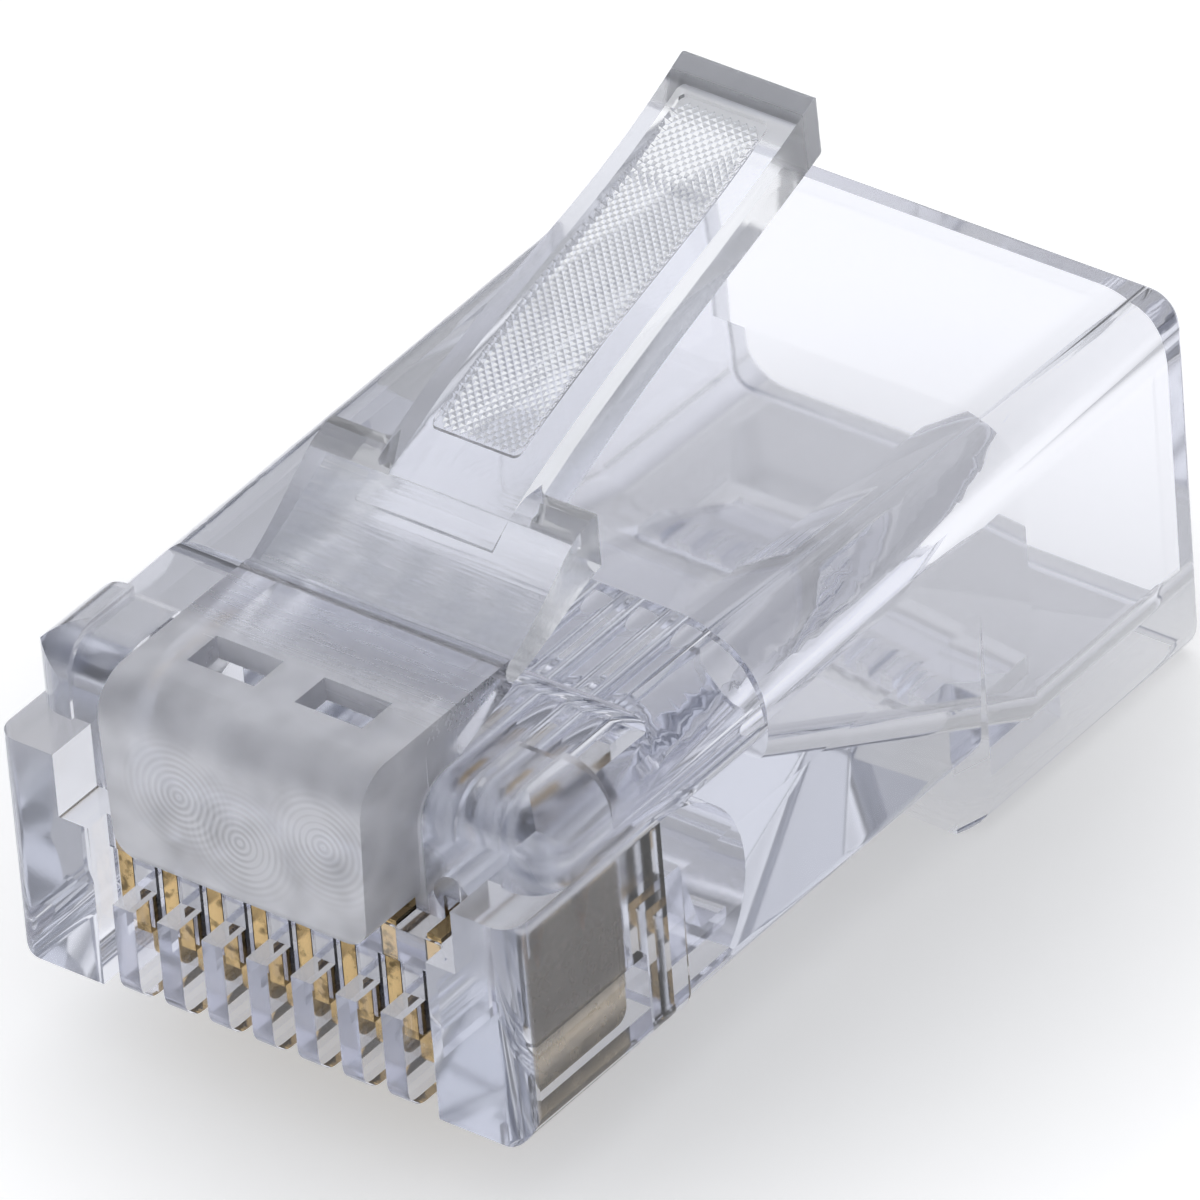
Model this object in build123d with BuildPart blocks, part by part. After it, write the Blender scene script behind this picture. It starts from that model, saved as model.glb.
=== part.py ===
import os

from build123d import *

# Overall sizes of the plug, in millimetres
plug_width = 11.68
plug_length = 21.0
body_height = 6.45
foot_drop = 1.6
foot_length = 7.05

# Contacts: count, pitch and the sizes of one blade
contact_count = 8
contact_pitch = 1.016
blade_thickness = 0.32
blade_front = 0.78
blade_length = 3.5
blade_bottom = 0.08
blade_corner_radius = 0.3
blade_step_height = 0.95
blade_step_depth = 0.4
tine_count = 3
tine_depth = 0.85
tine_gap = 0.5
tine_clearance = 0.04

# Slots that hold the blades, and the comb of teeth between them at the nose
tooth_width = 0.476
tooth_height = 2.1
tooth_toe_radius = 0.5
slot_margin = 0.55
slot_mouth_depth = 1.2
seat_clearance = 0.02
comb_panel_distance = 0.7
comb_height = 3.5

# Nose block, and the shoulders that rise above its ledge
end_wall_front = 0.16
end_wall_radius = 0.45
ledge_drop = 1.57
ledge_width = 1.34
contact_edge_radius = 0.55
shoulder_front = 1.2
shoulder_end = 3.25
shoulder_round = 0.85
shoulder_step = 0.15
rail_width = 0.97
rail_round = 0.9
rail_corner_radius = 0.75
inner_level_width = 0.85
shelf_drop = 0.25
shelf_end = 5.05
shelf_round = 0.2

# Body behind the nose
body_front_round = 1.2
body_rear_round = 0.65
side_draft = 0.12
foot_edge_radius = 0.7
foot_corner_chamfer = 0.5
rear_edge_radius = 0.12

# Root of the latch, with two windows through it
root_overhang = 0.25
root_width = 5.94
root_foot_inset = 0.12
root_gap = 0.12
root_rise = 0.85
root_top_radius = 0.85
root_side_radius = 0.5
root_back = 2.2
window_width = 1.52
window_length = 0.88
window_gap = 0.92
window_front = 1.19
window_wall = 0.3
window_plate = 0.5
core_drop = 0.3

# Hinge line between the root plate and the lever
hinge_distance = 4.35
hinge_thickness = 0.54
hinge_clearance = 0.02
hinge_lip = 0.12

# Latch lever, measured from the hinge line: a broad shoulder that locks in the jack
lever_bow_reach = 1.39
lever_bow_rise = 1.21
lever_web = 0.72
lock_reach = 2.65
lock_rise = 1.77
lock_face = 1.12
lock_flat = 0.25

# Tail of the lever at its stations: reach, rise of the top, depth, width of the top
tail_stations = (
    (1.35, 1.24, 0.90, 3.10),
    (2.85, 2.06, 1.30, 3.12),
    (4.95, 2.86, 1.22, 3.10),
    (7.95, 3.74, 1.10, 2.96),
    (9.35, 4.17, 1.10, 2.94),
    (11.45, 5.02, 1.20, 2.99),
    (11.95, 5.24, 1.22, 3.02),
)
tail_draft = 0.04
tail_root_radius = 0.3
tail_root_height = 0.95
tip_reach = 11.67
tip_edge_radius = 0.12

# Shallow recess for the grip on top of the tail
grip_start = 2.95
grip_end = 10.85
grip_width = 2.0
grip_sink = 0.08
grip_corner_radius = 0.15

# Wire channels and the hollow for the cable
wire_wall = 0.156
wire_height = 4.05
wire_start = 1.45
funnel_distance = 8.6
funnel_margin = 0.43
funnel_height = 1.8
cavity_length = 4.55
side_wall = 1.04
roof_wall = 0.95
floor_wall = 0.98
cavity_radius = 0.85

# Strain relief bars, each on a thin web in a pocket that opens on the contact side
wire_pocket_gap = 0.5
wire_pocket_length = 1.75
wire_pocket_height = 3.9
wire_bar_length = 1.0
wire_bar_height = 2.0
jacket_pocket_inset = 3.05
jacket_pocket_length = 3.3
jacket_pocket_margin = 1.7
jacket_bar_height = 1.6
jacket_bar_flat = 0.6
ridge_count = 8
ridge_depth = 0.25
bar_gap = 0.3
bar_web = 0.35

# Heights above the contact side, and distances behind the tips of the teeth
ledge_height = body_height - ledge_drop
shelf_height = body_height - shelf_drop
root_bottom = comb_height + root_gap
root_top = body_height + root_rise
seat_radius = hinge_thickness / 2
hinge_height = root_top - seat_radius
nose_front = -plug_length / 2 + root_overhang
body_end = plug_length - root_overhang
foot_start = body_end - foot_length
outer_slot = (contact_count - 1) * contact_pitch / 2
slot_width = contact_pitch - tooth_width
slot_end = blade_front + blade_length + slot_margin
comb_half_width = outer_slot + slot_width / 2
rail_inner = plug_width / 2 - rail_width
rail_height = body_height + shoulder_step
wire_bore = contact_pitch - wire_wall
beyond = 2.0

# Planes through the tips of the teeth, and through the hinge line
side_plane = Plane(origin=(0, nose_front, foot_drop), x_dir=(0, 1, 0), z_dir=(1, 0, 0))
front_plane = Plane(origin=(0, nose_front, foot_drop), x_dir=(1, 0, 0), z_dir=(0, -1, 0))
plan_plane = Plane(origin=(0, nose_front, foot_drop), x_dir=(1, 0, 0), z_dir=(0, 0, 1))
hinge_line = (0, nose_front + hinge_distance, foot_drop + hinge_height)
hinge_side = Plane(origin=hinge_line, x_dir=(0, 1, 0), z_dir=(1, 0, 0))
hinge_front = Plane(origin=hinge_line, x_dir=(1, 0, 0), z_dir=(0, -1, 0))
hinge_plan = Plane(origin=hinge_line, x_dir=(1, 0, 0), z_dir=(0, 0, 1))

# Lower nose block: rounded along its contact side and at its front corners
with BuildPart() as nose_form:
    with BuildSketch(front_plane) as nose_section:
        Rectangle(plug_width, ledge_height, align=(Align.CENTER, Align.MIN))
        fillet(nose_section.vertices().group_by(Axis.Y)[0], contact_edge_radius)
    extrude(amount=-shelf_end)
    with BuildSketch(plan_plane) as nose_plan:
        with Locations((0, end_wall_front)):
            Rectangle(plug_width, shelf_end, align=(Align.CENTER, Align.MIN))
        fillet(nose_plan.vertices().group_by(Axis.Y)[0], end_wall_radius)
    extrude(amount=ledge_height, mode=Mode.INTERSECT)

# Foot: the deeper cable end, rounded below and bevelled at its front corners
with BuildPart() as foot_form:
    with BuildSketch(front_plane.offset(-foot_start)) as foot_section:
        with Locations((0, -foot_drop)):
            Rectangle(plug_width, foot_drop + body_height / 2, align=(Align.CENTER, Align.MIN))
        fillet(foot_section.vertices().group_by(Axis.Y)[0], foot_edge_radius)
    extrude(amount=-foot_length)
    with BuildSketch(plan_plane.offset(-foot_drop)) as foot_plan:
        with Locations((0, foot_start)):
            Rectangle(plug_width, foot_length, align=(Align.CENTER, Align.MIN))
        chamfer(foot_plan.vertices().group_by(Axis.Y)[0], foot_corner_chamfer)
    extrude(amount=foot_drop + body_height / 2, mode=Mode.INTERSECT)

# Outer rail of a shoulder: round along its top, its outer edge and its front corner
with BuildPart() as rail_form:
    with BuildSketch(side_plane.offset(rail_inner)) as rail_profile:
        with Locations((shoulder_front, ledge_height / 2)):
            Rectangle(
                shoulder_end - shoulder_front,
                rail_height - ledge_height / 2,
                align=(Align.MIN, Align.MIN),
            )
        fillet(rail_profile.vertices().group_by(Axis.Y)[-1].sort_by(Axis.X)[0], shoulder_round)
    extrude(amount=rail_width)
    with BuildSketch(front_plane) as rail_section:
        with Locations((rail_inner, 0)):
            Rectangle(rail_width, rail_height, align=(Align.MIN, Align.MIN))
        fillet(rail_section.vertices().group_by(Axis.Y)[-1].sort_by(Axis.X)[-1], rail_round)
    extrude(amount=-shoulder_end, mode=Mode.INTERSECT)
    with BuildSketch(plan_plane) as rail_plan:
        with Locations((rail_inner, shoulder_front)):
            Rectangle(rail_width, shoulder_end - shoulder_front, align=(Align.MIN, Align.MIN))
        fillet(rail_plan.vertices().group_by(Axis.Y)[0].sort_by(Axis.X)[-1], rail_corner_radius)
    extrude(amount=rail_height, mode=Mode.INTERSECT)

# Two lower levels of a shoulder, between its rail and the root of the latch
level_outer = root_width / 2 + inner_level_width
with BuildPart() as level_form:
    for inner, outer, height, setback in (
        (root_width / 2 - root_side_radius, level_outer, shelf_height, shoulder_step),
        (level_outer, rail_inner, body_height, shoulder_step / 2),
    ):
        front = shoulder_front + setback
        with BuildSketch(side_plane.offset(inner)) as level_profile:
            with Locations((front, comb_height)):
                Rectangle(shoulder_end - front, height - comb_height, align=(Align.MIN, Align.MIN))
            fillet(level_profile.vertices().group_by(Axis.Y)[-1].sort_by(Axis.X)[0], shoulder_round)
        extrude(amount=outer - inner)

# Block at the root of the latch, a little narrower at its rounded foot
with BuildPart() as root_form:
    with BuildSketch(side_plane) as root_profile:
        with Locations((-root_overhang, root_bottom)):
            Rectangle(root_back + root_overhang, root_top - root_bottom, align=(Align.MIN, Align.MIN))
        fillet(root_profile.vertices().group_by(Axis.X)[0].sort_by(Axis.Y)[-1], root_top_radius)
    extrude(amount=root_width / 2, both=True)
    with BuildSketch(front_plane.offset(beyond)) as root_section:
        with BuildLine():
            Polyline(
                (root_foot_inset - root_width / 2, root_bottom),
                (root_width / 2 - root_foot_inset, root_bottom),
                (root_width / 2, root_top - root_side_radius),
                (root_width / 2, root_top),
                (-root_width / 2, root_top),
                (-root_width / 2, root_top - root_side_radius),
                (root_foot_inset - root_width / 2, root_bottom),
            )
        make_face()
        fillet(root_section.vertices().group_by(Axis.Y)[0], root_side_radius)
    extrude(amount=-(root_back + 2 * beyond), mode=Mode.INTERSECT)

# Housing: one clear moulding
with BuildPart() as housing:
    # Body: a loft whose top corners tighten towards the cable end
    for distance, top_round in ((shoulder_end, body_front_round), (body_end, body_rear_round)):
        with BuildSketch(front_plane.offset(-distance)) as body_section:
            with BuildLine():
                Polyline(
                    (side_draft - plug_width / 2, 0),
                    (plug_width / 2 - side_draft, 0),
                    (plug_width / 2, body_height / 2),
                    (plug_width / 2, body_height),
                    (-plug_width / 2, body_height),
                    (-plug_width / 2, body_height / 2),
                    (side_draft - plug_width / 2, 0),
                )
            make_face()
            fillet(body_section.vertices().group_by(Axis.Y)[-1], top_round)
            fillet(body_section.vertices().group_by(Axis.Y)[0], contact_edge_radius)
    loft()
    with BuildSketch(side_plane) as shelf_profile:
        with Locations((0, shelf_height)):
            Rectangle(shelf_end, beyond, align=(Align.MIN, Align.MIN))
        fillet(shelf_profile.vertices().group_by(Axis.Y)[0].sort_by(Axis.X)[-1], shelf_round)
    extrude(amount=plug_width, both=True, mode=Mode.SUBTRACT)
    add(nose_form.part)
    add(foot_form.part)

    # Recess at the front for the comb, wider above it, and the row of teeth
    with BuildSketch(side_plane):
        Rectangle(comb_panel_distance, comb_height, align=(Align.MIN, Align.MIN))
    extrude(amount=comb_half_width, both=True, mode=Mode.SUBTRACT)
    with BuildSketch(side_plane):
        with Locations((0, comb_height)):
            Rectangle(shoulder_front + 2 * shoulder_step, body_height, align=(Align.MIN, Align.MIN))
    extrude(amount=plug_width / 2 - ledge_width, both=True, mode=Mode.SUBTRACT)
    with BuildSketch(side_plane) as tooth_profile:
        Rectangle(comb_panel_distance + tooth_width, tooth_height, align=(Align.MIN, Align.MIN))
        fillet(tooth_profile.vertices().group_by(Axis.X)[0].sort_by(Axis.Y)[0], tooth_toe_radius)
    extrude(amount=outer_slot, both=True)

    # Shoulders, the root block, and the plate that reaches back from it to the hinge
    add(level_form.part)
    mirror(level_form.part, about=Plane.YZ)
    add(rail_form.part)
    mirror(rail_form.part, about=Plane.YZ)
    add(root_form.part)
    with BuildSketch(side_plane):
        with BuildLine():
            Polyline(
                (root_back - root_side_radius, root_top),
                (hinge_distance, root_top),
                (hinge_distance, root_top - hinge_thickness),
                (root_back, shelf_height - shoulder_step),
                (root_back - root_side_radius, shelf_height - shoulder_step),
                (root_back - root_side_radius, root_top),
            )
        make_face()
    extrude(amount=root_width / 2, both=True)
    with BuildSketch(hinge_side):
        Circle(seat_radius)
        with Locations((-hinge_lip, 0)):
            Rectangle(beyond, hinge_thickness * 2, align=(Align.MIN, Align.CENTER))
    extrude(amount=root_width, both=True, mode=Mode.SUBTRACT)

    # Hollow behind the root block, and the two windows that open into it
    core_width = 2 * window_width + window_gap + 2 * window_wall
    core_bottom = shelf_height - core_drop
    with BuildSketch(side_plane):
        with Locations((window_front - window_wall, core_bottom)):
            Rectangle(
                root_back + beyond,
                root_top - window_plate - core_bottom,
                align=(Align.MIN, Align.MIN),
            )
    extrude(amount=core_width / 2, both=True, mode=Mode.SUBTRACT)
    with BuildSketch(plan_plane.offset(core_bottom)):
        with Locations((0, window_front + window_length / 2)):
            with GridLocations(window_width + window_gap, 0, 2, 1):
                Rectangle(window_width, window_length)
    extrude(amount=root_top, mode=Mode.SUBTRACT)

    # Hollow for the cable, narrowing to the row of wire channels
    cavity_floor = floor_wall - foot_drop
    cavity_height = body_height - roof_wall - cavity_floor
    cavity_width = plug_width - 2 * side_wall
    funnel_width = 2 * outer_slot + wire_bore + funnel_margin
    with BuildSketch(front_plane.offset(cavity_length - body_end)) as cavity_section:
        with Locations((0, cavity_floor + cavity_height / 2)):
            RectangleRounded(cavity_width, cavity_height, cavity_radius)
    extrude(amount=-(cavity_length + beyond), mode=Mode.SUBTRACT)
    with BuildSketch(front_plane.offset(-funnel_distance)) as funnel_section:
        with Locations((0, wire_height)):
            RectangleRounded(funnel_width, funnel_height, cavity_radius)
    loft(sections=[cavity_section.sketch, funnel_section.sketch], mode=Mode.SUBTRACT)
    with BuildSketch(front_plane.offset(-wire_start)):
        with Locations((0, wire_height)):
            with GridLocations(contact_pitch, 0, contact_count, 1):
                Circle(wire_bore / 2)
    extrude(amount=-(funnel_distance - wire_start + wire_bore), mode=Mode.SUBTRACT)

    # Slots: a wide mouth for the mating springs, and a close seat for each blade
    for width, start, end, depth in (
        (slot_width, -beyond, slot_end, slot_mouth_depth),
        (slot_width, -beyond, blade_front, wire_height - wire_bore / 2 - tine_depth),
        (
            blade_thickness + 2 * seat_clearance,
            blade_front - seat_clearance,
            blade_front + blade_length + seat_clearance,
            wire_height,
        ),
    ):
        with BuildSketch(plan_plane):
            with Locations((0, start)):
                with GridLocations(contact_pitch, 0, contact_count, 1):
                    Rectangle(width, end - start, align=(Align.CENTER, Align.MIN))
        extrude(amount=depth, mode=Mode.SUBTRACT)

    # Pocket across the conductors, with its strain relief bar
    wire_pocket_start = slot_end + wire_pocket_gap
    wire_pocket_end = wire_pocket_start + wire_pocket_length
    with BuildSketch(side_plane):
        with BuildLine():
            Polyline(
                (wire_pocket_end, 0),
                (wire_pocket_end, -beyond),
                (wire_pocket_start, -beyond),
                (wire_pocket_start, wire_pocket_height),
            )
            TangentArc(
                (wire_pocket_start, wire_pocket_height),
                (wire_pocket_end, 0),
                tangent=(1, 0),
            )
        make_face()
    extrude(amount=funnel_width / 2, both=True, mode=Mode.SUBTRACT)
    wire_bar_start = wire_pocket_start + bar_gap
    with BuildSketch(side_plane):
        with BuildLine():
            Polyline(
                (wire_bar_start, bar_gap),
                (wire_pocket_end + bar_gap, bar_gap),
                (wire_pocket_end + bar_gap, bar_gap + bar_web),
                (wire_bar_start + wire_bar_length, bar_gap + bar_web),
                (wire_bar_start + wire_bar_length / 2, bar_gap + wire_bar_height),
                (wire_bar_start, bar_gap + wire_bar_height),
                (wire_bar_start, bar_gap),
            )
        make_face()
    extrude(amount=funnel_width / 2 - bar_gap, both=True)

    # Pocket in the foot, with the ridged strain relief bar that grips the cable jacket
    jacket_pocket_end = body_end - jacket_pocket_inset
    jacket_pocket_start = jacket_pocket_end - jacket_pocket_length
    jacket_pocket_width = cavity_width - 2 * jacket_pocket_margin
    with BuildSketch(side_plane):
        with Locations((jacket_pocket_start, -foot_drop - beyond)):
            Rectangle(
                jacket_pocket_length,
                beyond + foot_drop + body_height / 2,
                align=(Align.MIN, Align.MIN),
            )
    extrude(amount=jacket_pocket_width / 2, both=True, mode=Mode.SUBTRACT)
    jacket_bar_start = jacket_pocket_start + bar_gap
    jacket_bar_bottom = bar_gap - foot_drop
    jacket_bar_top = jacket_bar_bottom + jacket_bar_height
    with BuildSketch(side_plane):
        with BuildLine():
            Polyline(
                (jacket_bar_start, jacket_bar_bottom),
                (jacket_pocket_end + bar_gap, jacket_bar_bottom),
                (jacket_pocket_end + bar_gap, jacket_bar_bottom + bar_web),
                (jacket_pocket_end - bar_gap, jacket_bar_bottom + bar_web),
                (jacket_bar_start + jacket_bar_flat, jacket_bar_top),
                (jacket_bar_start, jacket_bar_top),
                (jacket_bar_start, jacket_bar_bottom),
            )
        make_face()
    extrude(amount=jacket_pocket_width / 2 - bar_gap, both=True)
    ridge_pitch = (jacket_pocket_width - 2 * bar_gap) / ridge_count
    with BuildSketch(front_plane.offset(-jacket_pocket_start)):
        with Locations((0, jacket_bar_top)):
            with GridLocations(ridge_pitch, 0, ridge_count - 1, 1):
                Rectangle(ridge_pitch / 2, 2 * ridge_depth)
    extrude(amount=-jacket_pocket_length / 2, mode=Mode.SUBTRACT)

    # Small rounding round the rim of the cable end
    fillet(housing.faces().sort_by(Axis.Y)[-1].outer_wire().edges(), rear_edge_radius)

# Tail of the latch: a loft that narrows, then widens to an upturned tip, sunk on top for a grip
tail_sections = []
grip_sections = []
for reach, rise, depth, width in tail_stations:
    with BuildSketch(hinge_front.offset(-reach)) as tail_section:
        with BuildLine():
            Polyline(
                (-width / 2 - tail_draft, rise - depth),
                (width / 2 + tail_draft, rise - depth),
                (width / 2, rise),
                (-width / 2, rise),
                (-width / 2 - tail_draft, rise - depth),
            )
        make_face()
    tail_sections.append(tail_section.sketch)
    with BuildSketch(hinge_front.offset(-reach)) as grip_section:
        with Locations((0, rise)):
            Rectangle(width, 2 * grip_sink)
    grip_sections.append(grip_section.sketch)
with BuildPart() as grip_form:
    loft(sections=grip_sections)
    with BuildSketch(hinge_plan):
        with Locations((0, (grip_start + grip_end) / 2)):
            RectangleRounded(grip_width, grip_end - grip_start, grip_corner_radius)
    extrude(amount=2 * body_height, mode=Mode.INTERSECT)
with BuildPart() as tail_form:
    loft(sections=tail_sections)
    with BuildSketch(hinge_side):
        with Locations((tip_reach, 0)):
            Rectangle(beyond, body_height * 2, align=(Align.MIN, Align.CENTER))
    extrude(amount=root_width, both=True, mode=Mode.SUBTRACT)
    fillet(tail_form.faces().sort_by(Axis.Y)[-1].edges(), tip_edge_radius)
    add(grip_form.part, mode=Mode.SUBTRACT)

# Rounded corners between the locking shoulder and the tail
tail_root_width = tail_stations[1][3]
with BuildPart() as tail_root_form:
    with BuildSketch(hinge_plan.offset(lock_rise - tail_root_height)) as tail_root_plan:
        with Locations((0, lock_reach - lock_flat)):
            Rectangle(root_width, lock_flat, align=(Align.CENTER, Align.MIN))
            Rectangle(
                tail_root_width,
                lock_flat + tail_root_radius + tail_draft,
                align=(Align.CENTER, Align.MIN),
            )
        fillet(
            tail_root_plan.vertices().group_by(Axis.Y)[1].sort_by(Axis.X)[1:3],
            tail_root_radius,
        )
    extrude(amount=tail_root_height)

# Latch lever: its knuckle turns in the seat at the end of the root plate
knuckle_radius = seat_radius - hinge_clearance
with BuildPart() as latch_lever:
    with BuildSketch(hinge_side):
        with BuildLine():
            Spline(
                (0, knuckle_radius),
                (lever_bow_reach, lever_bow_rise),
                (lock_reach - lock_flat, lock_rise),
                tangents=((1, 0.55), (1, 0.2)),
            )
            Polyline(
                (lock_reach - lock_flat, lock_rise),
                (lock_reach, lock_rise),
                (lock_reach, lock_rise - lock_face),
            )
            Spline(
                (lock_reach, lock_rise - lock_face),
                (lever_bow_reach + lever_web, lever_bow_rise - lever_web),
                (0, -knuckle_radius),
                tangents=((-1, -0.2), (-1, -0.2)),
            )
            Line((0, -knuckle_radius), (0, knuckle_radius))
        make_face()
        Circle(knuckle_radius)
    extrude(amount=root_width / 2, both=True)
    add(tail_root_form.part)
    add(tail_form.part)

# Contact: a flat blade, stepped back at its foot, with pointed tines towards the wire
blade_top = wire_height - wire_bore / 2 - tine_clearance
blade_height = blade_top - blade_bottom
tine_pitch = (blade_length + tine_gap) / tine_count
with BuildPart() as blade:
    with BuildSketch(side_plane.offset(-blade_thickness / 2)) as blade_profile:
        with Locations((blade_front, blade_bottom + blade_step_height)):
            Rectangle(blade_length, blade_height - blade_step_height, align=(Align.MIN, Align.MIN))
        with Locations((blade_front + blade_step_depth, blade_bottom)):
            Rectangle(blade_length - blade_step_depth, blade_height, align=(Align.MIN, Align.MIN))
        fillet(blade_profile.vertices().group_by(Axis.Y)[0], blade_corner_radius)
        for number in range(tine_count - 1):
            valley = blade_front + (number + 1) * tine_pitch - tine_gap / 2
            with BuildLine():
                Polyline(
                    (valley - tine_gap / 2, blade_top),
                    (valley, blade_top - tine_depth),
                    (valley + tine_gap / 2, blade_top),
                    (valley - tine_gap / 2, blade_top),
                )
            make_face(mode=Mode.SUBTRACT)
    extrude(amount=blade_thickness)

housing.part.label = "housing"
latch_lever.part.label = "latch_lever"
os.makedirs("parts", exist_ok=True)
export_step(housing.part, "parts/housing.step")
export_step(latch_lever.part, "parts/latch_lever.step")
for number in range(contact_count):
    with BuildPart(Location((number * contact_pitch - outer_slot, 0, 0))) as contact:
        add(blade.part)
    contact.part.label = f"contact_{number + 1}"
    export_step(contact.part, f"parts/contact_{number + 1}.step")
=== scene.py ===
import bpy
import math
from mathutils import Vector, Matrix


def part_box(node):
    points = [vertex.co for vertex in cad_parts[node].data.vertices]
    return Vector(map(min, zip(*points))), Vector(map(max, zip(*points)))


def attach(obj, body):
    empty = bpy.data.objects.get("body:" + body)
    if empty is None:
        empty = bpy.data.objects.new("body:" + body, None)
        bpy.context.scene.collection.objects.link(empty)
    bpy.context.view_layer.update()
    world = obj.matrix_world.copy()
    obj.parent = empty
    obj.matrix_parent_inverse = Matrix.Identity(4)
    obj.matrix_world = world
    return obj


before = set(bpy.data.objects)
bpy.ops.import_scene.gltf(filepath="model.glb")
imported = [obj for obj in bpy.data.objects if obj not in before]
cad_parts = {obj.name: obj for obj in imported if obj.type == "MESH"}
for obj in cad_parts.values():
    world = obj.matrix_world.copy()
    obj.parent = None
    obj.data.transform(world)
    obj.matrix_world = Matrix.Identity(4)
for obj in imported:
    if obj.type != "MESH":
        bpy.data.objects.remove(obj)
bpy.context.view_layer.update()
print("frame loaded:", len(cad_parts), "nodes")

mm = 0.001  # sizes below are in millimetres, Blender is in metres
toMm = 1000.0
tipsY = -10.25  # the tips of the teeth, along the plug
contactZ = 1.6  # the contact side, above the floor
hingeY = -5.9  # the hinge line of the lever

scene = bpy.context.scene


# A socket that can be added, multiplied and compared like a number
class Value:
    def __init__(self, tree, socket):
        self.tree = tree
        self.socket = socket

    def math(self, operation, *others):
        node = self.tree.nodes.new("ShaderNodeMath")
        node.operation = operation
        for i, other in enumerate((self,) + others):
            if isinstance(other, Value):
                self.tree.links.new(other.socket, node.inputs[i])
            else:
                node.inputs[i].default_value = other
        return Value(self.tree, node.outputs[0])

    def __add__(self, other):
        return self.math("ADD", other)

    def __radd__(self, other):
        return self.math("ADD", other)

    def __sub__(self, other):
        return self.math("SUBTRACT", other)

    def __rsub__(self, other):
        return self.math("MULTIPLY_ADD", -1.0, other)

    def __mul__(self, other):
        return self.math("MULTIPLY", other)

    def __rmul__(self, other):
        return self.math("MULTIPLY", other)

    def __lt__(self, other):
        return self.math("LESS_THAN", other)

    def __gt__(self, other):
        return self.math("GREATER_THAN", other)

    def __abs__(self):
        return self.math("ABSOLUTE")

    def largest(self, other):
        return self.math("MAXIMUM", other)

    def sine(self):
        return self.math("SINE")

    def length(self, other):
        return (self * self + other * other).math("SQRT")


# One node tree: any node from its type, its settings and its inputs
class Nodes:
    def __init__(self, tree):
        self.tree = tree
        tree.nodes.clear()

    def add(self, kind, settings=None, inputs=None):
        node = self.tree.nodes.new(kind)
        for key, setting in (settings or {}).items():
            setattr(node, key, setting)
        for key, given in (inputs or {}).items():
            if isinstance(given, Value):
                self.tree.links.new(given.socket, node.inputs[key])
            else:
                node.inputs[key].default_value = given
        return node

    def get(self, kind, settings=None, inputs=None, output=0):
        return Value(self.tree, self.add(kind, settings, inputs).outputs[output])

    def coordinate(self, name):
        return self.get("ShaderNodeTexCoord", output=name)

    def axis(self, vector, name):
        return self.get("ShaderNodeSeparateXYZ", inputs={"Vector": vector}, output=name)

    def ramp(self, value, low, high):
        # 0 below low, 1 above high, smooth between
        return self.get("ShaderNodeMapRange", {"interpolation_type": "SMOOTHSTEP"},
                        {"Value": value, "From Min": low, "From Max": high})

    def below(self, value, high, soft):
        # 1 below high, 0 above
        return 1 - self.ramp(value, high - soft, high + soft)

    def band(self, value, low, high, soft):
        # 1 between low and high, 0 outside
        return self.ramp(value, low - soft, low + soft) * self.below(value, high, soft)

    def noise(self, vector, scale, detail=1.0):
        return self.get("ShaderNodeTexNoise",
                        inputs={"Vector": vector, "Scale": scale, "Detail": detail})

    def mix(self, share, first, second):
        return self.get("ShaderNodeMixShader", inputs={0: share, 1: first, 2: second})

    def blend(self, factor, first, second):
        return self.get("ShaderNodeMix", {"data_type": "RGBA"}, {0: factor, 6: first, 7: second}, 2)


def newFinish(name):
    material = bpy.data.materials.new(name)
    material.use_nodes = True
    return material, Nodes(material.node_tree)


# Camera, placed from the corners of the plug in the photograph
cameraSet = {
    "azimuth": 39.662,
    "elevation": 35.362,
    "roll": -4.763,
    "distance": 333.305,
    "sensor": 36,
    "lens": 542.67,
    "nearest": 0.01,  # in metres
    "farthest": 10,
    "target": (-1.847, 2.439, 3.236),
}


def makeCamera():
    azimuth, elevation, roll = (math.radians(cameraSet[key])
                                for key in ("azimuth", "elevation", "roll"))
    back = Vector((math.sin(azimuth) * math.cos(elevation),
                   -math.cos(azimuth) * math.cos(elevation), math.sin(elevation)))
    right = Vector((math.cos(azimuth), math.sin(azimuth), 0))
    up = back.cross(right)
    sideways = right * math.cos(roll) + up * math.sin(roll)
    upwards = up * math.cos(roll) - right * math.sin(roll)
    lens = bpy.data.cameras.new("camera")
    lens.sensor_width = cameraSet["sensor"]
    lens.lens = cameraSet["lens"]
    lens.clip_start = cameraSet["nearest"]
    lens.clip_end = cameraSet["farthest"]
    camera = bpy.data.objects.new("camera", lens)
    scene.collection.objects.link(camera)
    place = (Vector(cameraSet["target"]) + back * cameraSet["distance"]) * mm
    turn = Matrix((sideways, upwards, back)).transposed().to_4x4()
    camera.matrix_world = Matrix.Translation(place) @ turn
    scene.camera = camera


makeCamera()
print("camera placed")


# Room: bright overhead, with a soft light behind the plug on the left, and dimmer on the right
roomSet = {
    "horizon": (0.22, 0.225, 0.24, 1),
    "ceiling": (0.66, 0.67, 0.70, 1),
    "ceilingFrom": (0.02, 0.72),  # height of the view direction, from horizon to ceiling
    "softbox": (1.02, 1.03, 1.06, 1),
    "softboxTo": (-0.45, 0.50, 0.74),
    "softboxEdge": (0.70, 0.97),
    "rightShade": 0.55,
    "rightEdge": (0.10, 0.55),
    "bounces": 32,  # light passes many clear walls before it leaves the plug
}


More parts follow.
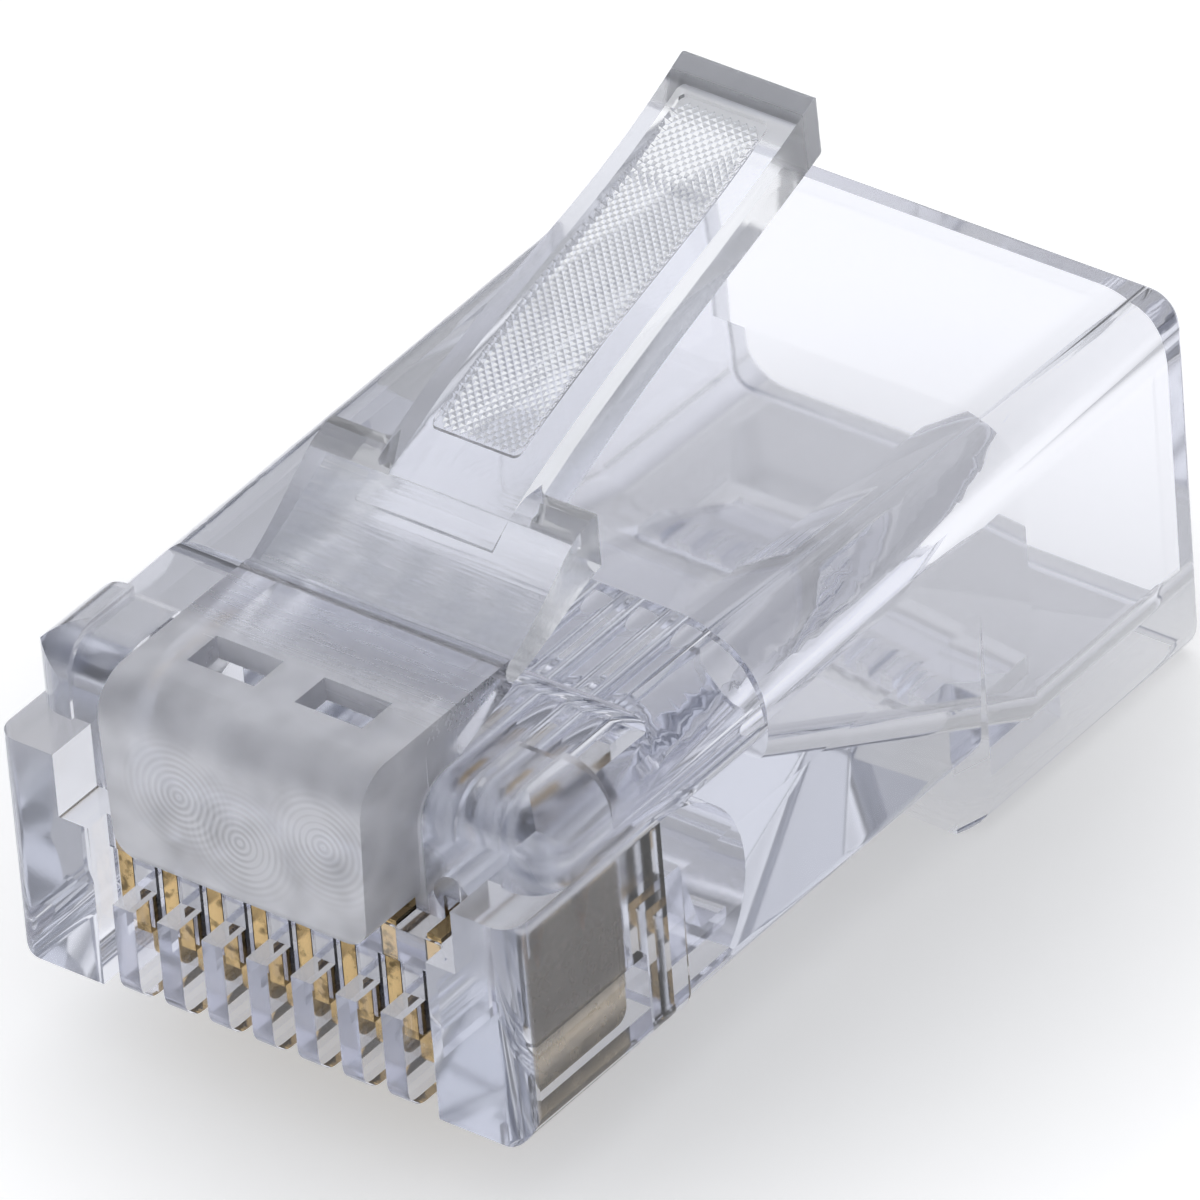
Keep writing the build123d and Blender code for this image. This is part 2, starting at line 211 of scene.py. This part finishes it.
def makeRoom():
    room = bpy.data.worlds.new("room")
    room.use_nodes = True
    room.cycles.sampling_method = "NONE"
    scene.world = room
    nodes = Nodes(room.node_tree)
    direction = nodes.coordinate("Generated")
    x, y, z = (nodes.axis(direction, name) for name in "XYZ")
    boxX, boxY, boxZ = roomSet["softboxTo"]
    walls = nodes.blend(nodes.ramp(z, *roomSet["ceilingFrom"]),
                        roomSet["horizon"], roomSet["ceiling"])
    towards = nodes.ramp(x * boxX + y * boxY + z * boxZ, *roomSet["softboxEdge"])
    light = nodes.get("ShaderNodeBackground", inputs={
        "Color": nodes.blend(towards, walls, roomSet["softbox"]),
        "Strength": 1 - nodes.ramp(x, *roomSet["rightEdge"]) * roomSet["rightShade"]})
    nodes.add("ShaderNodeOutputWorld", inputs={"Surface": light})

    scene.view_settings.view_transform = "Standard"
    scene.cycles.max_bounces = roomSet["bounces"]
    scene.cycles.transmission_bounces = roomSet["bounces"]
    scene.cycles.glossy_bounces = roomSet["bounces"]


makeRoom()
print("room lit")


# Table: pale, and it glows as a light table does, with painted light: dimmer under the plug as a
# painted shadow and brighter round it as a painted pool of light, fading far away
tableSet = {
    "size": 1.6,  # in metres
    "colour": (0.80, 0.80, 0.80, 1),
    "grainColour": (0.824, 0.824, 0.824, 1),
    "grain": 900.0,
    "roughness": 0.7,
    "paintedShadowGlow": 0.40,  # strength under the plug, round it and far away
    "paintedPoolGlow": 0.62,
    "farGlow": 0.10,
    "roundFrom": (7, 18),  # distance from the middle over which the glow rises, then fades
    "farFrom": (24, 60),
}


def makeTable():
    bpy.ops.object.select_all(action="DESELECT")
    bpy.ops.mesh.primitive_plane_add(size=tableSet["size"], location=(0, 0, 0))
    table = bpy.context.object
    table.name = "table"
    material, nodes = newFinish("pale_table_painted_glow")
    vector = nodes.coordinate("Object")
    away = nodes.axis(vector, "X").length(nodes.axis(vector, "Y")) * toMm
    under, around, far = (tableSet[key] for key in ("paintedShadowGlow", "paintedPoolGlow", "farGlow"))
    # painted glow: a painted shadow under the plug, rising to a painted pool of light round it
    glow = (under + nodes.ramp(away, *tableSet["roundFrom"]) * (around - under)
            - nodes.ramp(away, *tableSet["farFrom"]) * (around - far))
    grain = nodes.noise(vector, tableSet["grain"])
    shader = nodes.get("ShaderNodeBsdfPrincipled", inputs={
        "Base Color": nodes.blend(grain, tableSet["colour"], tableSet["grainColour"]),
        "Roughness": tableSet["roughness"],
        "Emission Color": nodes.get("ShaderNodeCombineXYZ", inputs=dict.fromkeys("XYZ", glow)),
        "Emission Strength": 1.0})
    nodes.add("ShaderNodeOutputMaterial", inputs={"Surface": shader})
    material.cycles.emission_sampling = "NONE"
    table.data.materials.append(material)


makeTable()
print("table set")


# Clear polycarbonate, which the housing and the lever share
plasticSet = {
    "index": 1.585,
    "gloss": 0.03,
    "inside": (0.46, 0.50, 0.62, 1),  # light fades towards this on its way through
    "streaks": 1000.0,
    "streakStretch": (0.35, 9.0, 9.0),
}


def plastic(nodes, colour, roughness, through, more=None):
    return nodes.get("ShaderNodeBsdfPrincipled", inputs={
        "Base Color": colour, "Roughness": roughness, "IOR": plasticSet["index"],
        "Transmission Weight": through, **(more or {})})


def brushedStreaks(nodes, vector):
    # fine lines across the plug
    stretched = nodes.get("ShaderNodeMapping",
                          inputs={"Vector": vector, "Scale": plasticSet["streakStretch"]})
    return nodes.noise(stretched, plasticSet["streaks"])


def finishPlastic(nodes, surface, density):
    fading = nodes.get("ShaderNodeVolumeAbsorption",
                       inputs={"Color": plasticSet["inside"], "Density": density})
    nodes.add("ShaderNodeOutputMaterial", inputs={"Surface": surface, "Volume": fading})


# Housing: glassy walls, softer shoulders, a brushed hinge plate, a milky frosted latch root.
# Places are measured back from the tips and up from the contact side
housingSet = {
    "tint": (0.90, 0.905, 0.945, 1),
    "density": 40.0,
    "patches": 600.0,
    "patchy": 0.03,
    "upperFrom": (3.45, 3.75),
    "haze": 0.13,  # added roughness of the shoulders
    "shoulderEdge": (3.2, 4.4),
    "rootHalf": 3.0,  # half the width of the latch root and of the hinge plate
    "rootBack": 2.5,
    "frost": (0.042, 0.056),  # roughness of the root: everywhere, and more in patches
    "brushed": 0.25,
    "plateFrom": 1.5,
    "plateTo": 4.4,
    "plateAbove": (6.7, 6.9),
    "sideSoft": 0.04,
    "backSoft": 0.45,
    "plateSoft": 0.4,
    "milk": (0.95, 0.955, 1.0, 1),
    "milkRoughness": 0.4,
    "milkThrough": 0.30,
    "milkiness": 0.88,
    "clouds": 950.0,
    "cloudy": (0.4, 1.1),  # share of the milk: everywhere, and more in clouds
    "swirls": ((-1.23, 5.45), (0.11, 4.95), (2.05, 5.6)),  # centres on the front of the root
    "swirlPitch": 0.14,
    "swirlFade": (0.3, 1.5),
    "swirlBack": (-0.3, -0.1),
    "swirlStrength": 0.2,
}


def makeHousingFinish():
    given = housingSet
    material, nodes = newFinish("clear_polycarbonate")
    vector = nodes.coordinate("Object")
    x, y, z = (nodes.axis(vector, name) * toMm for name in "XYZ")
    behind, height = y - tipsY, z - contactZ
    upper = nodes.ramp(height, *given["upperFrom"])
    middle = nodes.below(abs(x), given["rootHalf"], given["sideSoft"])
    root = middle * nodes.below(behind, given["rootBack"], given["backSoft"]) * upper
    shoulders = (1 - nodes.ramp(behind, *given["shoulderEdge"])) * upper
    plate = (middle * nodes.band(behind, given["plateFrom"], given["plateTo"], given["plateSoft"])
             * nodes.ramp(height, *given["plateAbove"]))
    patches = nodes.noise(vector, given["patches"])
    frost, patchyFrost = given["frost"]
    smooth = plasticSet["gloss"] + patches * given["patchy"]
    roughness = (smooth + (shoulders - root) * given["haze"]
                 + root * (frost + patches * patchyFrost)
                 + plate * brushedStreaks(nodes, vector) * given["brushed"])

    def rings(centreX, centreZ):
        away = (x - centreX).length(height - centreZ)
        wave = (away * (2 * math.pi / given["swirlPitch"])).sine()
        return wave * (1 - nodes.ramp(away, *given["swirlFade"]))

    front = 1 - nodes.ramp(behind, *given["swirlBack"])
    swirls = sum(rings(*centre) for centre in given["swirls"]) * front
    milk, cloudyMilk = given["cloudy"]
    milkShare = (root * (milk + nodes.noise(vector, given["clouds"]) * cloudyMilk)
                 * (1 + swirls * given["swirlStrength"]) * given["milkiness"])
    nose = nodes.mix(
        milkShare, plastic(nodes, given["tint"], roughness, 1.0),
        plastic(nodes, given["milk"], given["milkRoughness"], given["milkThrough"]))

    # Cycles skips the side of a mix that has no share, so the body doesn't work out the nose
    onNose = (height > given["upperFrom"][0]) * (behind < given["plateTo"] + given["plateSoft"])
    finishPlastic(nodes, nodes.mix(onNose, plastic(nodes, given["tint"], smooth, 1.0), nose),
                  given["density"])
    return material


# Lever: brushed across its broad shoulder and softly frosted at its end.
# Places are measured back from the hinge line
leverSet = {
    "tint": (0.95, 0.955, 0.965, 1),
    "density": 24.0,
    "streaky": 0.02,
    "shoulderTo": 2.0,
    "shoulderSoft": 0.7,
    "brushed": 0.30,
    "bumpStrength": 0.25,
    "bumpHeight": 0.03,
    "endFrom": (11.0, 11.3),
    "softEnd": 0.35,  # added roughness of the end
    "milk": (0.92, 0.93, 0.98, 1),
    "milkRoughness": 0.5,
    "milkyEnd": 0.40,
}


def makeLeverFinish():
    given = leverSet
    material, nodes = newFinish("clear_lever")
    vector = nodes.coordinate("Object")
    reach = nodes.axis(vector, "Y") * toMm - hingeY
    shoulder = nodes.below(reach, given["shoulderTo"], given["shoulderSoft"])
    end = nodes.ramp(reach, *given["endFrom"])
    streaks = brushedStreaks(nodes, vector)
    smooth = plasticSet["gloss"] + streaks * given["streaky"]
    bump = nodes.get("ShaderNodeBump", inputs={
        "Strength": given["bumpStrength"], "Distance": given["bumpHeight"] * mm,
        "Height": streaks * shoulder})
    brushed = plastic(nodes, given["tint"], smooth + streaks * shoulder * given["brushed"], 1.0,
                      {"Normal": bump})
    tail = nodes.mix(end * given["milkyEnd"],
                     plastic(nodes, given["tint"], smooth + end * given["softEnd"], 1.0),
                     plastic(nodes, given["milk"], given["milkRoughness"], 0.0))
    onShoulder = reach < given["shoulderTo"] + given["shoulderSoft"]
    finishPlastic(nodes, nodes.mix(onShoulder, tail, brushed), given["density"])
    return material


# Blades: gold on their edges; their flat sides are painted brown as a painted dark reflection,
# with a cream band low on those sides as a painted reflection of the lit floor
goldSet = {
    "gold": (0.78, 0.56, 0.27, 1),
    # painted dark reflection on the flat sides
    "brownReflection": (0.045, 0.032, 0.018, 1),
    # painted reflection of the lit floor, low on the flat sides
    "creamReflection": (0.95, 0.78, 0.50, 1),
    "gloss": 0.16,
    "patches": 4200.0,
    "patchDetail": 2.0,
    "patchy": 0.2,
    "sideEdge": (0.5, 0.9),  # how far a face looks sideways
    "sideReflectionShare": 0.95,
    "wornEdge": (0.50, 0.70),
    "wornShare": 0.7,
    "creamFrom": 0.45,
    "creamTo": 1.15,
    "creamSoft": 0.35,
    "creamRagged": 0.3,
}


def makeGoldFinish():
    given = goldSet
    material, nodes = newFinish("gold_plate")
    vector = nodes.coordinate("Object")
    height = nodes.axis(vector, "Z") * toMm - contactZ
    sideways = abs(nodes.axis(nodes.coordinate("Normal"), "X"))
    patches = nodes.noise(vector, given["patches"], given["patchDetail"])
    # faces that look sideways get the painted reflection colours
    side = nodes.ramp(sideways, *given["sideEdge"]) * given["sideReflectionShare"]
    # random worn patches, which take the painted reflection colours too
    wearAndReflection = nodes.ramp(patches, *given["wornEdge"]) * given["wornShare"]
    # painted bright reflection: a band low on the flat sides
    creamReflection = nodes.band(height + patches * given["creamRagged"],
                       given["creamFrom"], given["creamTo"], given["creamSoft"])
    flat = nodes.blend(creamReflection, given["brownReflection"], given["creamReflection"])
    metal = nodes.get("ShaderNodeBsdfPrincipled", inputs={
        "Base Color": nodes.blend(side.largest(wearAndReflection), given["gold"], flat),
        "Metallic": 1.0, "Roughness": given["gloss"] + patches * given["patchy"]})
    nodes.add("ShaderNodeOutputMaterial", inputs={"Surface": metal})
    return material


housingFinish = makeHousingFinish()
leverFinish = makeLeverFinish()
goldFinish = makeGoldFinish()
finishes = {"housing": housingFinish, "latch_lever": leverFinish}
for name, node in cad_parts.items():
    for slot in node.material_slots:
        slot.material = finishes.get(name, goldFinish)
print("finishes set")


# Knurled grip that lies in the shallow recess on the tail of the lever
gripSet = {
    "start": 3.05,  # from the hinge line
    "end": 10.72,
    "width": 1.86,
    "corner": 0.16,
    "pitch": 0.13,
    "thickness": 0.039,
    "lift": 0.002,  # keeps the grip off the floor of the recess
    "peak": 0.026,
}


def makeGrip():
    start, end, width, corner, pitch = (
        gripSet[key] * mm for key in ("start", "end", "width", "corner", "pitch"))
    middleY = hingeY * mm + (start + end) / 2
    length = end - start
    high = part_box("latch_lever")[1].z + mm

    # a grid of squares that stand on their corners, cut to the outline of the grip
    count = math.ceil((length + width) / math.sqrt(2) / pitch) + 2
    bpy.ops.object.select_all(action="DESELECT")
    bpy.ops.mesh.primitive_grid_add(x_subdivisions=count, y_subdivisions=count,
                                    size=count * pitch, location=(0, middleY, high))
    grip = bpy.context.object
    grip.name = "knurled_grip"
    bpy.ops.object.transform_apply(location=True, rotation=True, scale=True)
    bpy.ops.object.mode_set(mode="EDIT")
    bpy.ops.mesh.select_all(action="SELECT")
    bpy.ops.transform.rotate(value=math.radians(45), orient_axis="Z",
                             center_override=(0, middleY, high))
    signs = (1, -1)
    cuts = [((side * width / 2, 0), (side, 0)) for side in signs]
    cuts += [((0, side * length / 2), (0, side)) for side in signs]
    cuts += [((across * (width / 2 - corner), along * length / 2), (across, along))
             for across in signs for along in signs]
    for (cutX, cutY), (normalX, normalY) in cuts:
        bpy.ops.mesh.select_all(action="SELECT")
        bpy.ops.mesh.bisect(plane_co=(cutX, middleY + cutY, high),
                            plane_no=(normalX, normalY, 0), clear_outer=True)
    bpy.ops.object.mode_set(mode="OBJECT")

    # lay it on the lever and give it its thickness
    wrap = grip.modifiers.new("lay", "SHRINKWRAP")
    wrap.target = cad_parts["latch_lever"]
    wrap.wrap_method = "PROJECT"
    wrap.use_project_z = True
    wrap.use_negative_direction = True
    wrap.use_positive_direction = False
    bpy.ops.object.modifier_apply(modifier="lay")
    plate = grip.modifiers.new("plate", "SOLIDIFY")
    plate.thickness = gripSet["thickness"] * mm
    plate.offset = 1
    bpy.ops.object.modifier_apply(modifier="plate")
    bpy.ops.object.mode_set(mode="EDIT")
    bpy.ops.mesh.select_all(action="SELECT")
    bpy.ops.transform.translate(value=(0, 0, gripSet["lift"] * mm))
    bpy.ops.mesh.normals_make_consistent(inside=False)
    bpy.ops.mesh.select_all(action="DESELECT")
    bpy.ops.object.mode_set(mode="OBJECT")

    # raise a point on each square of the upper side
    for face in grip.data.polygons:
        face.select = face.normal.z > 0.5
    bpy.ops.object.mode_set(mode="EDIT")
    bpy.ops.mesh.select_mode(type="FACE")
    bpy.ops.mesh.poke(offset=gripSet["peak"] * mm)
    bpy.ops.object.mode_set(mode="OBJECT")
    grip.data.materials.append(leverFinish)
    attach(grip, "latch")


makeGrip()
print("grip knurled")
